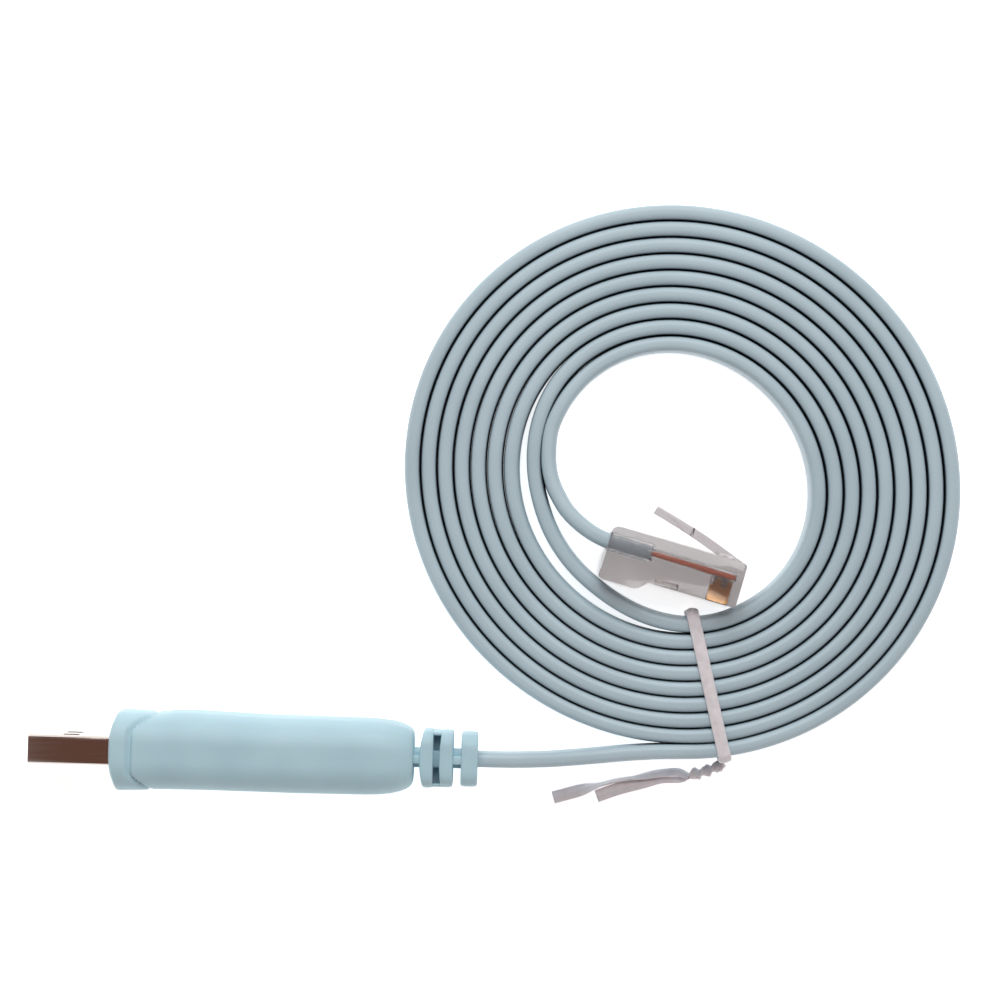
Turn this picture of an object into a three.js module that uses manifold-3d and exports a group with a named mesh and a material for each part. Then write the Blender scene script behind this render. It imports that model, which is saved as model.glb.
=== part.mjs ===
// A coiled console cable: a USB plug in a moulded housing with a slotted strain relief, a flat
// eight-conductor cable wound on its edge into a flat ring, a clear modular plug lying inside the
// ring, and a twist tie round the ring. Millimetres, +Z up. The drawing is made round the middle of
// the coil, on the level it lies on; at the end it is moved so that the origin is on that level,
// under the middle of the two connectors.
import * as THREE from 'three';
import Module from 'manifold-3d';
import { mergeVertices } from 'three/addons/utils/BufferGeometryUtils.js';

const wasm = await Module();
wasm.setup();

// Straight pieces in each quarter of a rounded corner
const ARC_SEGMENTS = 5;

// Clearances
const GAP = 0.3;
const FINE_GAP = 0.1;
const CUT_OVERRUN = 1;

// Flat cable, standing on its edge
const CABLE_WIDTH = 6.8;
const CABLE_THICKNESS = 2.5;
const CABLE_CHAMFER = 0.75;
const CONDUCTOR_COUNT = 8;
const CONDUCTOR_DIAMETER = 0.92;
const ROUTE_STEP = 2.5;

// Coil
const COIL_TURNS = 9;
const COIL_INNER_RADIUS = 21.2;
const COIL_SEGMENTS = 44;
const COIL_OUTER_RADIUS = COIL_INNER_RADIUS + COIL_TURNS * CABLE_THICKNESS;

// USB plug: where the front of its housing is, and how far its axis turns from +X
const USB_PLACE_X = -90.1;
const USB_PLACE_Y = -41.66;
const USB_TURN = -1.6;
const SHELL_THICKNESS = 4.5;
const SHELL_WIDTH = 12;
const SHELL_WALL = 0.3;
const SHELL_CORNER = 0.6;
const SHELL_EXPOSED = 12.2;
const SHELL_EMBEDDED = 6;
const WINDOW_SIZE = 2.5;
const WINDOW_SPACING = 5.6;
const WINDOW_FROM_MOUTH = 5.2;
const TONGUE_THICKNESS = 1.84;
const TONGUE_RECESS = 0.6;
const TONGUE_ROOT_FROM_MOUTH = 9.4;
const USB_CONTACT_COUNT = 4;
const USB_CONTACT_PITCH = 2.25;
const USB_CONTACT_WIDTH = 1;
const USB_CONTACT_LENGTH = 6.4;
const USB_CONTACT_THICKNESS = 0.25;
const USB_CONTACT_FROM_TIP = 0.8;

// Moulded housing, lying on its narrow side
const HOUSING_LENGTH = 47.8;
const HOUSING_THICKNESS = 11.5;
const HOUSING_WIDTH = 17.4;
const HOUSING_CORNER = 4.4;
const COLLAR_LENGTH = 6.2;
const COLLAR_THICKNESS = 12.2;
const COLLAR_BULGE = 1.5;
const SHOULDER_LENGTH = 6.6;
const SHOULDER_INSET = 1.15;
const SHOULDER_SIDE_INSET = 2.2;
const SHOULDER_ROUND = 0.9;

// Strain relief, moulded in one with the housing
const RELIEF_THICKNESS = 8.9;
const RELIEF_END_THICKNESS = 8.2;
const RELIEF_WIDTH = 12.4;
const RELIEF_CORNER = 2;
const RELIEF_GAP = 1.25;
const RELIEF_RIB = 1.85;
const RELIEF_END_RIB = 2.6;
const RELIEF_WEB = 2.9;
const RELIEF_SKIN = 0.5;
const RELIEF_CORE_WALL = 0.5;
const RELIEF_LENGTH = 3 * RELIEF_GAP + 2 * RELIEF_RIB + RELIEF_END_RIB;

// Clear modular plug, lying on its side: where the top of its rear end is, and its turn from +X
const PLUG_PLACE_X = -10.95;
const PLUG_PLACE_Y = -6.45;
const PLUG_TURN = -16.5;
const PLUG_LENGTH = 21.9;
const PLUG_WIDTH = 11.68;
const PLUG_FRONT_HEIGHT = 6.7;
const PLUG_REAR_HEIGHT = 8.1;
const PLUG_REAR_LENGTH = 6.2;
const PLUG_STEP_LENGTH = 1.2;
const PLUG_NOSE_CHAMFER = 0.6;
const PLUG_CABLE_DROP = 2.75;
const PLUG_JACKET_DEPTH = 7.3;
const PLUG_FRONT_WALL = 1.1;
const PIN_PITCH = 1.02;
const BLADE_THICKNESS = 0.35;
const BLADE_LENGTH = 3.4;
const BLADE_FROM_NOSE = 1.5;
const BLADE_RECESS = 0.25;
const BLADE_BODY_HEIGHT = 2.3;
const TINE_LENGTH = 0.8;
const LATCH_ROOT = 4.6;
const LATCH_REACH = 16;
const LATCH_RISE = 4.9;
const LATCH_THICKNESS = 1.1;
const LATCH_WIDTH = 6.1;
const LATCH_TAB_WIDTH = 3.3;
const LATCH_TAB_SHARE = 0.45;
const LATCH_LAP = 0.02;

// Twist tie: a limp ribbon round the coil, twisted outside it, with two cut tails
const TIE_TURN = -79.1;
const TIE_OFFSET = -2.15;
const TIE_WIDTH = 1.7;
const TIE_THICKNESS = 0.5;
const TIE_CORNER = 1.1;
const TWIST_RADIUS = 1.2;

// The cable's two free stretches, as points along its middle: [x, y, height]
const LEAD_ROUTE = [
  [-31.9, -43.28, 8.7], [-29.9, -43.34, 8.7], [-26.8, -43.42, 8.25], [-23.5, -43.43, 7.45],
  [-20.8, -43.4, 6.7], [-17.8, -43.25, 5.9], [-14, -43, 5.2],
];
const TAIL_ROUTE = [
  [-19.25, -2.5, 4.8], [-18.4, -3.95, 5.1], [-17.1, -5.45, 5.4], [-15.4, -6.95, 5.7], [-13.7, -8.1, 5.84],
  [-11.9, -8.98, 5.84], [-9.43, -9.77, 5.84], [-7, -10.49, 5.84], [-4.83, -11.13, 5.84],
];
const TWIST_ROUTE = [[6.25, -44.2, 1.9], [5.7, -45, 1.9], [4.5, -45.4, 1.8], [1.4, -46.4, 1.7]];
const LONG_TAIL_ROUTE = [
  [2.5, -46.1, 2], [-0.4, -45.65, 1.8], [-3.2, -46, 1.4], [-7, -46.7, 0.9], [-10.35, -47.3, 0.7],
  [-14.3, -48.4, 0.4], [-20.3, -50.05, 0.36],
];
const SHORT_TAIL_ROUTE = [
  [2.5, -46.1, 1.6], [-0.1, -46.9, 1.3], [-5, -47.3, 0.9], [-10.2, -48.7, 0.4], [-13.5, -49.85, 0.36],
];

// Materials
const finish = (color, roughness, metalness = 0) => new THREE.MeshStandardMaterial(
  { color, roughness, metalness });
const jacketVinyl = finish(0xaec4ce, 0.5);
const housingVinyl = finish(0xb4d2dd, 0.45);
const nickelSteel = finish(0x9c9590, 0.25, 1);
const tonguePlastic = finish(0xf2f2ee, 0.5);
const goldPlate = finish(0xc9a04a, 0.3, 1);
const clearPlastic = finish(0xb4b3b3, 0.1);
const tieVinyl = finish(0xc9c8cf, 0.5);
const CONDUCTOR_COLOURS = [
  0xb4b8ba, 0xd98a3a, 0x26282b, 0xb5322c, 0x3f7d4a, 0xd9c04a, 0x3d62a8, 0xa8583a,
];

const toSolid = (geometry) => {
  const bare = geometry.clone();
  bare.deleteAttribute('normal');
  bare.deleteAttribute('uv');
  const merged = mergeVertices(bare, 1e-5);
  const vertProperties = new Float32Array(merged.attributes.position.array);
  const triVerts = new Uint32Array(merged.index.array);
  return new wasm.Manifold(new wasm.Mesh({ numProp: 3, vertProperties, triVerts }));
};

const toGeometry = (solid) => {
  const mesh = solid.getMesh();
  const geometry = new THREE.BufferGeometry();
  geometry.setAttribute('position', new THREE.BufferAttribute(mesh.vertProperties, 3));
  geometry.setIndex(new THREE.BufferAttribute(mesh.triVerts, 1));
  geometry.computeVertexNormals();
  return geometry;
};

const piece = (name, shape, material) => {
  const geometry = shape.isBufferGeometry ? shape : toGeometry(shape);
  const mesh = new THREE.Mesh(geometry, material);
  mesh.name = name;
  return mesh;
};

// A box given by its lowest and highest corner
const block = (low, high) => {
  const size = high.map((value, axis) => value - low[axis]);
  const geometry = new THREE.BoxGeometry(...size);
  return toSolid(geometry.translate(...low.map((value, axis) => value + size[axis] / 2)));
};

const polygon = (corners) => new THREE.Shape(corners.map(([x, y]) => new THREE.Vector2(x, y)));

const roundedRectangle = (width, height, radius) => {
  const x = width / 2;
  const y = height / 2;
  const shape = new THREE.Shape();
  shape.moveTo(-x + radius, -y);
  shape.lineTo(x - radius, -y).absarc(x - radius, -y + radius, radius, -Math.PI / 2, 0);
  shape.lineTo(x, y - radius).absarc(x - radius, y - radius, radius, 0, Math.PI / 2);
  shape.lineTo(-x + radius, y).absarc(-x + radius, y - radius, radius, Math.PI / 2, Math.PI);
  shape.lineTo(-x, -y + radius).absarc(-x + radius, -y + radius, radius, Math.PI, Math.PI * 1.5);
  return shape;
};

const extrude = (shape, depth) => new THREE.ExtrudeGeometry(
  shape, { depth, bevelEnabled: false, curveSegments: ARC_SEGMENTS });

// A section drawn in Y and Z, swept along X from start to end
const alongX = (shape, start, end) => {
  const turn = new THREE.Matrix4().makeBasis(
    new THREE.Vector3(0, 1, 0), new THREE.Vector3(0, 0, 1), new THREE.Vector3(1, 0, 0));
  return toSolid(extrude(shape, end - start).applyMatrix4(turn).translate(start, 0, 0));
};

// An outline drawn in X and Z, swept along Y, centred on Y = 0
const alongY = (shape, depth) => toSolid(
  extrude(shape, depth).rotateX(Math.PI / 2).translate(0, depth / 2, 0));

// An outline drawn in X and Y, swept along Z, centred on Z = 0
const alongZ = (shape, depth) => toSolid(extrude(shape, depth).translate(0, 0, -depth / 2));

const along = (route) => new THREE.CatmullRomCurve3(
  route.map((point) => new THREE.Vector3(...point)), false, 'centripetal');

// A section swept along a route: the section's X stands upright and its Y lies level, because each
// route starts level or nearly so
const sweep = (section, route, step) => {
  const path = along(route);
  const steps = Math.ceil(path.getLength() / step);
  return new THREE.ExtrudeGeometry(
    section, { steps, bevelEnabled: false, curveSegments: ARC_SEGMENTS, extrudePath: path });
};

// The flat cable's section, a rectangle with its four corners cut off
const cableSection = () => {
  const x = CABLE_WIDTH / 2;
  const y = CABLE_THICKNESS / 2;
  const cut = CABLE_CHAMFER;
  return polygon([
    [x - cut, -y], [x, -y + cut], [x, y - cut], [x - cut, y],
    [-x + cut, y], [-x, y - cut], [-x, -y + cut], [-x + cut, -y],
  ]);
};

// The coil is one turned ring, and each of its turns shows as a ridge on both of its ends
const coil = () => {
  const upper = [];
  for (let turn = 0; turn < COIL_TURNS; turn += 1) {
    const radius = COIL_INNER_RADIUS + turn * CABLE_THICKNESS;
    upper.push(new THREE.Vector2(radius, CABLE_WIDTH - CABLE_CHAMFER));
    upper.push(new THREE.Vector2(radius + CABLE_CHAMFER, CABLE_WIDTH));
    upper.push(new THREE.Vector2(radius + CABLE_THICKNESS - CABLE_CHAMFER, CABLE_WIDTH));
  }
  upper.push(new THREE.Vector2(COIL_OUTER_RADIUS, CABLE_WIDTH - CABLE_CHAMFER));
  const lower = upper.map((point) => new THREE.Vector2(point.x, CABLE_WIDTH - point.y)).reverse();
  const profile = [...upper.reverse(), ...lower.reverse()];
  profile.push(profile[0].clone());
  const ring = toSolid(new THREE.LatheGeometry(profile, COIL_SEGMENTS).rotateX(Math.PI / 2));
  const tieWay = block(
    [0, TIE_OFFSET - TIE_WIDTH / 2 - GAP, -CUT_OVERRUN],
    [COIL_OUTER_RADIUS + CUT_OVERRUN, TIE_OFFSET + TIE_WIDTH / 2 + GAP, TIE_THICKNESS + GAP]);
  return ring.subtract(tieWay.rotate([0, 0, TIE_TURN]));
};

// The tie: a band round the coil's section, a twisted stretch outside it and two tails
const twistTie = () => {
  const inner = COIL_INNER_RADIUS - 2 * GAP;
  const outer = COIL_OUTER_RADIUS + GAP;
  const length = outer - inner + 2 * TIE_THICKNESS;
  const height = CABLE_WIDTH + 2 * TIE_THICKNESS + 2 * GAP;
  const outline = roundedRectangle(length, height, TIE_CORNER);
  const opening = roundedRectangle(
    length - 2 * TIE_THICKNESS, height - 2 * TIE_THICKNESS, TIE_CORNER - TIE_THICKNESS);
  outline.holes.push(opening);
  const band = alongY(outline, TIE_WIDTH).translate([(inner + outer) / 2, TIE_OFFSET, height / 2]);
  const round = new THREE.Shape().absarc(0, 0, TWIST_RADIUS, 0, 2 * Math.PI);
  const twist = sweep(round, TWIST_ROUTE, ROUTE_STEP);
  const flat = polygon([
    [-TIE_THICKNESS / 2, -TIE_WIDTH / 2], [TIE_THICKNESS / 2, -TIE_WIDTH / 2],
    [TIE_THICKNESS / 2, TIE_WIDTH / 2], [-TIE_THICKNESS / 2, TIE_WIDTH / 2],
  ]);
  return band.rotate([0, 0, TIE_TURN])
    .add(toSolid(twist))
    .add(toSolid(sweep(flat, LONG_TAIL_ROUTE, ROUTE_STEP)))
    .add(toSolid(sweep(flat, SHORT_TAIL_ROUTE, ROUTE_STEP)));
};

// The plug's folded steel sleeve, with two latch windows through each wide wall
const usbShell = () => {
  const outside = alongX(
    roundedRectangle(SHELL_THICKNESS, SHELL_WIDTH, SHELL_CORNER), -SHELL_EXPOSED, SHELL_EMBEDDED);
  const opening = roundedRectangle(
    SHELL_THICKNESS - 2 * SHELL_WALL, SHELL_WIDTH - 2 * SHELL_WALL, SHELL_CORNER - SHELL_WALL);
  const inside = alongX(opening, -SHELL_EXPOSED - CUT_OVERRUN, SHELL_EMBEDDED + CUT_OVERRUN);
  let sleeve = outside.subtract(inside);
  const start = -SHELL_EXPOSED + WINDOW_FROM_MOUTH;
  for (const side of [-1, 1]) {
    const middle = side * WINDOW_SPACING / 2;
    sleeve = sleeve.subtract(block(
      [start, -SHELL_THICKNESS, middle - WINDOW_SIZE / 2],
      [start + WINDOW_SIZE, SHELL_THICKNESS, middle + WINDOW_SIZE / 2]));
  }
  return sleeve;
};

const tongueFace = -SHELL_THICKNESS / 2 + SHELL_WALL + FINE_GAP + TONGUE_THICKNESS;
const usbContactHeight = (index) => (index - (USB_CONTACT_COUNT - 1) / 2) * USB_CONTACT_PITCH;
const tongueTip = -SHELL_EXPOSED + TONGUE_RECESS;

// The insulator inside the sleeve: a tongue along one wide wall, and the block it stands on
const usbTongue = () => {
  const halfWidth = SHELL_WIDTH / 2 - SHELL_WALL - FINE_GAP;
  const lowFace = tongueFace - TONGUE_THICKNESS;
  const rootStart = -SHELL_EXPOSED + TONGUE_ROOT_FROM_MOUTH;
  const tongue = block([tongueTip, lowFace, -halfWidth], [rootStart + FINE_GAP, tongueFace, halfWidth]);
  const root = block([rootStart, lowFace, -halfWidth], [SHELL_EMBEDDED - FINE_GAP, -lowFace, halfWidth]);
  let insulator = tongue.add(root);
  const grooveStart = tongueTip + USB_CONTACT_FROM_TIP - FINE_GAP;
  const grooveEnd = tongueTip + USB_CONTACT_FROM_TIP + USB_CONTACT_LENGTH + FINE_GAP;
  for (let index = 0; index < USB_CONTACT_COUNT; index += 1) {
    const middle = usbContactHeight(index);
    const reach = USB_CONTACT_WIDTH / 2 + FINE_GAP;
    insulator = insulator.subtract(block(
      [grooveStart, tongueFace - USB_CONTACT_THICKNESS, middle - reach],
      [grooveEnd, tongueFace + FINE_GAP, middle + reach]));
  }
  return insulator;
};

const usbContact = (index) => {
  const start = tongueTip + USB_CONTACT_FROM_TIP;
  const middle = usbContactHeight(index);
  return block(
    [start, tongueFace - USB_CONTACT_THICKNESS + FINE_GAP, middle - USB_CONTACT_WIDTH / 2],
    [start + USB_CONTACT_LENGTH, tongueFace + FINE_GAP, middle + USB_CONTACT_WIDTH / 2]);
};

// Half of the housing's outline is drawn from its front to its shoulder, and mirrored
const housingOutline = (half, inset) => {
  const shoulderStart = HOUSING_LENGTH - SHOULDER_LENGTH;
  const shoulderTurn = HOUSING_LENGTH - SHOULDER_LENGTH / 3;
  const roundStart = HOUSING_LENGTH - SHOULDER_ROUND;
  const neck = half - inset - SHOULDER_ROUND;
  const shape = new THREE.Shape();
  shape.moveTo(COLLAR_BULGE, -half);
  shape.lineTo(shoulderStart, -half);
  shape.quadraticCurveTo(shoulderTurn, -half, roundStart, -half + inset);
  shape.quadraticCurveTo(HOUSING_LENGTH, -neck - SHOULDER_ROUND / 2, HOUSING_LENGTH, -neck);
  shape.lineTo(HOUSING_LENGTH, neck);
  shape.quadraticCurveTo(HOUSING_LENGTH, neck + SHOULDER_ROUND / 2, roundStart, half - inset);
  shape.quadraticCurveTo(shoulderTurn, half, shoulderStart, half);
  shape.lineTo(COLLAR_BULGE, half);
  return shape;
};

const collarOutline = () => {
  const half = COLLAR_THICKNESS / 2;
  const shape = new THREE.Shape();
  shape.moveTo(COLLAR_BULGE, -half);
  shape.lineTo(COLLAR_LENGTH, -half).lineTo(COLLAR_LENGTH, half).lineTo(COLLAR_BULGE, half);
  shape.quadraticCurveTo(-COLLAR_BULGE, 0, COLLAR_BULGE, -half);
  return shape;
};

const reliefOutline = () => {
  const start = HOUSING_LENGTH - CUT_OVERRUN;
  const end = HOUSING_LENGTH + RELIEF_LENGTH;
  const shape = new THREE.Shape();
  shape.moveTo(start, -RELIEF_THICKNESS / 2).lineTo(end, -RELIEF_END_THICKNESS / 2);
  shape.lineTo(end, RELIEF_END_THICKNESS / 2).lineTo(start, RELIEF_THICKNESS / 2);
  return shape;
};

// The strain relief is cut by slots in turn: from its two sides, from its top and bottom, from its sides
const strainRelief = () => {
  const end = HOUSING_LENGTH + RELIEF_LENGTH;
  const section = roundedRectangle(RELIEF_THICKNESS, RELIEF_WIDTH, RELIEF_CORNER);
  let relief = alongX(section, HOUSING_LENGTH - CUT_OVERRUN, end)
    .intersect(alongZ(reliefOutline(), RELIEF_WIDTH));
  const pitch = RELIEF_GAP + RELIEF_RIB;
  const slotHalf = (RELIEF_THICKNESS + RELIEF_END_THICKNESS) / 4 - RELIEF_SKIN;
  for (const side of [-1, 1]) {
    for (const slot of [0, 2]) {
      const start = HOUSING_LENGTH + slot * pitch;
      const near = side * RELIEF_WEB / 2;
      const far = side * RELIEF_THICKNESS;
      relief = relief.subtract(block(
        [start, Math.min(near, far), -RELIEF_WIDTH],
        [start + RELIEF_GAP, Math.max(near, far), RELIEF_WIDTH]));
    }
    const near = side * (CABLE_WIDTH / 2 + RELIEF_CORE_WALL);
    const far = side * RELIEF_WIDTH;
    relief = relief.subtract(block(
      [HOUSING_LENGTH + pitch, -slotHalf, Math.min(near, far)],
      [HOUSING_LENGTH + pitch + RELIEF_GAP, slotHalf, Math.max(near, far)]));
  }
  return relief;
};

const usbHousing = () => {
  const section = roundedRectangle(HOUSING_THICKNESS, HOUSING_WIDTH, HOUSING_CORNER);
  const body = alongX(section, 0, HOUSING_LENGTH)
    .intersect(alongZ(housingOutline(HOUSING_THICKNESS / 2, SHOULDER_INSET), HOUSING_WIDTH))
    .intersect(alongY(housingOutline(HOUSING_WIDTH / 2, SHOULDER_SIDE_INSET), HOUSING_THICKNESS));
  const collarSection = roundedRectangle(COLLAR_THICKNESS, HOUSING_WIDTH, HOUSING_CORNER);
  const collar = alongX(collarSection, 0, COLLAR_LENGTH)
    .intersect(alongZ(collarOutline(), HOUSING_WIDTH));
  const pocketHalf = [SHELL_THICKNESS / 2 + GAP, SHELL_WIDTH / 2 + GAP];
  const pocket = block(
    [-CUT_OVERRUN, -pocketHalf[0], -pocketHalf[1]], [SHELL_EMBEDDED + GAP, ...pocketHalf]);
  return body.add(collar).add(strainRelief()).subtract(pocket);
};

// The clear plug's body is drawn from its rear end along X, with the latch side up, and centred in width
const plugOutline = () => polygon([
  [0, 0], [0, -PLUG_REAR_HEIGHT], [PLUG_REAR_LENGTH, -PLUG_REAR_HEIGHT],
  [PLUG_REAR_LENGTH + PLUG_STEP_LENGTH, -PLUG_FRONT_HEIGHT],
  [PLUG_LENGTH - PLUG_NOSE_CHAMFER, -PLUG_FRONT_HEIGHT],
  [PLUG_LENGTH, -PLUG_FRONT_HEIGHT + PLUG_NOSE_CHAMFER],
  [PLUG_LENGTH, -PLUG_NOSE_CHAMFER], [PLUG_LENGTH - PLUG_NOSE_CHAMFER, 0],
]);

// A slice of the latch between two shares of its reach, from its root at the nose to its free end
const latchSlice = (from, to, width) => {
  const rootX = PLUG_LENGTH - PLUG_NOSE_CHAMFER;
  const upper = (share) => [rootX - share * LATCH_REACH, share * LATCH_RISE];
  const lower = (share) => [rootX - share * LATCH_REACH, share * LATCH_RISE - LATCH_THICKNESS];
  return alongZ(polygon([upper(from), upper(to), lower(to), lower(from)]), width);
};

const pinOffset = (index) => (index - (CONDUCTOR_COUNT - 1) / 2) * PIN_PITCH;
const bladeEnd = PLUG_LENGTH - BLADE_FROM_NOSE;
const bladeStart = bladeEnd - BLADE_LENGTH;
const bladeFoot = -PLUG_FRONT_HEIGHT + BLADE_RECESS;

const plugBody = () => {
  const rootJoin = alongZ(polygon([
    [PLUG_LENGTH - LATCH_ROOT, -LATCH_THICKNESS], [PLUG_LENGTH - PLUG_NOSE_CHAMFER, -LATCH_THICKNESS],
    [PLUG_LENGTH - PLUG_NOSE_CHAMFER, 0],
    [PLUG_LENGTH - LATCH_ROOT, (LATCH_ROOT - PLUG_NOSE_CHAMFER) * LATCH_RISE / LATCH_REACH],
  ]), LATCH_WIDTH);
  const shoulder = 1 - LATCH_TAB_SHARE;
  let body = alongZ(plugOutline(), PLUG_WIDTH)
    .add(rootJoin)
    .add(latchSlice(0, shoulder, LATCH_WIDTH))
    .add(latchSlice(shoulder - LATCH_LAP, 1, LATCH_TAB_WIDTH));
  const jacketHalf = CABLE_THICKNESS / 2 + GAP;
  const jacketReach = CABLE_WIDTH / 2 + GAP;
  body = body.subtract(block(
    [-CUT_OVERRUN, -PLUG_CABLE_DROP - jacketHalf, -jacketReach],
    [PLUG_JACKET_DEPTH + GAP, -PLUG_CABLE_DROP + jacketHalf, jacketReach]));
  const wireHalf = CONDUCTOR_DIAMETER / 2 + FINE_GAP;
  const wireReach = pinOffset(CONDUCTOR_COUNT - 1) + wireHalf;
  body = body.subtract(block(
    [PLUG_JACKET_DEPTH, -PLUG_CABLE_DROP - wireHalf, -wireReach],
    [PLUG_LENGTH - PLUG_FRONT_WALL, -PLUG_CABLE_DROP + wireHalf, wireReach]));
  for (let index = 0; index < CONDUCTOR_COUNT; index += 1) {
    const reach = BLADE_THICKNESS / 2 + FINE_GAP;
    body = body.subtract(block(
      [bladeStart - FINE_GAP, -PLUG_FRONT_HEIGHT - CUT_OVERRUN, pinOffset(index) - reach],
      [bladeEnd + FINE_GAP, -PLUG_CABLE_DROP - wireHalf + FINE_GAP, pinOffset(index) + reach]));
  }
  return body;
};

// A contact blade, with two tines that reach up to its conductor
const plugContact = (index) => {
  const top = bladeFoot + BLADE_BODY_HEIGHT;
  const tip = -PLUG_CABLE_DROP - CONDUCTOR_DIAMETER / 2 - FINE_GAP;
  const outline = polygon([
    [bladeStart, bladeFoot], [bladeEnd, bladeFoot], [bladeEnd, tip], [bladeEnd - TINE_LENGTH, tip],
    [bladeEnd - TINE_LENGTH, top], [bladeStart + 2 * TINE_LENGTH, top],
    [bladeStart + 2 * TINE_LENGTH, tip],
    [bladeStart + TINE_LENGTH, tip], [bladeStart + TINE_LENGTH, top], [bladeStart, top],
  ]);
  return alongZ(outline, BLADE_THICKNESS).translate([0, 0, pinOffset(index)]);
};

const conductor = (index) => {
  const start = PLUG_JACKET_DEPTH + GAP;
  const length = PLUG_LENGTH - PLUG_FRONT_WALL - FINE_GAP - start;
  const rod = new THREE.CylinderGeometry(CONDUCTOR_DIAMETER / 2, CONDUCTOR_DIAMETER / 2, length, 10);
  return rod.rotateZ(Math.PI / 2).translate(start + length / 2, -PLUG_CABLE_DROP, pinOffset(index));
};

const usbGroup = new THREE.Group();
usbGroup.position.set(USB_PLACE_X, USB_PLACE_Y, HOUSING_WIDTH / 2);
usbGroup.rotation.z = THREE.MathUtils.degToRad(USB_TURN);
usbGroup.add(piece('usb_shell', usbShell(), nickelSteel));
usbGroup.add(piece('usb_tongue', usbTongue(), tonguePlastic));
for (let index = 0; index < USB_CONTACT_COUNT; index += 1) {
  usbGroup.add(piece(`usb_contact_${index + 1}`, usbContact(index), goldPlate));
}
usbGroup.add(piece('usb_housing', usbHousing(), housingVinyl));

const plugGroup = new THREE.Group();
plugGroup.position.set(PLUG_PLACE_X, PLUG_PLACE_Y, PLUG_WIDTH / 2);
plugGroup.rotation.z = THREE.MathUtils.degToRad(PLUG_TURN);
plugGroup.add(piece('rj45_body', plugBody(), clearPlastic));
for (let index = 0; index < CONDUCTOR_COUNT; index += 1) {
  plugGroup.add(piece(`rj45_contact_${index + 1}`, plugContact(index), goldPlate));
  plugGroup.add(piece(`conductor_${index + 1}`, conductor(index), finish(CONDUCTOR_COLOURS[index], 0.5)));
}

const connectors = new THREE.Group();
connectors.add(usbGroup, plugGroup);

const cableGroup = new THREE.Group();
cableGroup.add(piece('cable_lead', sweep(cableSection(), LEAD_ROUTE, ROUTE_STEP), jacketVinyl));
cableGroup.add(piece('cable_coil', coil(), jacketVinyl));
cableGroup.add(piece('cable_tail', sweep(cableSection(), TAIL_ROUTE, ROUTE_STEP), jacketVinyl));
cableGroup.add(piece('twist_tie', twistTie(), tieVinyl));

// The origin goes under the middle of the two connectors
const middle = new THREE.Box3().setFromObject(connectors, true).getCenter(new THREE.Vector3());
const group = new THREE.Group();
group.add(connectors, cableGroup);
group.position.set(-middle.x, -middle.y, 0);
group.updateMatrixWorld(true);

export default group;
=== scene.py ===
# %% [markdown]
# A coiled console cable, photographed from straight above on a white table. One end is a steel USB
# plug in a pale blue moulded housing, which lies on its narrow side. From there a flat cable stands
# on its edge and winds nearly nine times round. The other end lies inside the coil as a clear
# modular plug, and a thin twist tie holds the turns together.
#
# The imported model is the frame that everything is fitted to. It is loaded first, and nothing here
# moves it or changes its size.

# %% Load the frame
import bisect
import math

import bmesh
import bpy
from mathutils import Matrix, Vector


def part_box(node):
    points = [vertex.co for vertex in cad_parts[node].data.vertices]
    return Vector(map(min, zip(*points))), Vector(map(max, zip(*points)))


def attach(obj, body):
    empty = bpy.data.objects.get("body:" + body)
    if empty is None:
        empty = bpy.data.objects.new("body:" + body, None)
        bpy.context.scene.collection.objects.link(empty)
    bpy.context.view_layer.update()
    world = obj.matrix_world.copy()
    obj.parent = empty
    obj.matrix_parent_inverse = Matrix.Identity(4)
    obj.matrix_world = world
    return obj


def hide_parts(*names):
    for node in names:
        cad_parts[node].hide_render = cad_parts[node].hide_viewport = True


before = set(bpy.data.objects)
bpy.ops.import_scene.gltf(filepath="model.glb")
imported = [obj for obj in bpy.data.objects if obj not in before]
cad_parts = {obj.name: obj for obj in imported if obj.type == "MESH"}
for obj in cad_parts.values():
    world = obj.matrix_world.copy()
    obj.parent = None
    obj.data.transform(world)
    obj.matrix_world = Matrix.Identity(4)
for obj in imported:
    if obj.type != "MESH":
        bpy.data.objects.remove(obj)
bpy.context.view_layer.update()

MM = 0.001

# %% [markdown]
# The coil lies flat, so its middle is a good place to measure from: the cable's route, the twist
# tie and the camera are all given as millimetres from the middle of the coil, with the height
# measured from the table. The two plugs are measured along their own length, so each gets a small
# frame of its own: a start point, a turn about the upright axis, and a height.

# %% Places to measure from
coil_low, coil_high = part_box("cable_coil")
COIL = Vector(((coil_low.x + coil_high.x) / 2, (coil_low.y + coil_high.y) / 2, 0))


def from_coil(x, y, z):
    """A point given in millimetres from the middle of the coil, at z above the table."""
    return COIL + Vector((x, y, z)) * MM


def turned_frame(x, y, z, degrees):
    """A frame at a point from the coil, with its X turned from +X about the upright axis."""
    return Matrix.Translation(from_coil(x, y, z)) @ Matrix.Rotation(math.radians(degrees), 4, "Z")


USB = turned_frame(-90.1, -41.66, 8.7, -1.6)
PLUG = turned_frame(-10.95, -6.45, 5.84, -16.5)
print("coil centre in mm:", [round(v / MM, 2) for v in COIL])

# %% [markdown]
# A material is a small graph of nodes. One helper adds a node, sets its values and links its
# inputs, and another turns a colour as a designer writes it, a hex value, into the linear numbers
# that a shader needs. Plastics and plating are never quite one colour, so most finishes here also
# start from soft clouds between two near tones. Every finish below is then a few lines long.

# %% Helpers for materials


def linear(hex_value):
    """A hex colour such as 0xA9BFC8 as linear red, green, blue and alpha."""
    parts = [((hex_value >> shift) & 255) / 255 for shift in (16, 8, 0)]
    return (*[c / 12.92 if c <= 0.04045 else ((c + 0.055) / 1.055) ** 2.4 for c in parts], 1.0)


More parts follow.
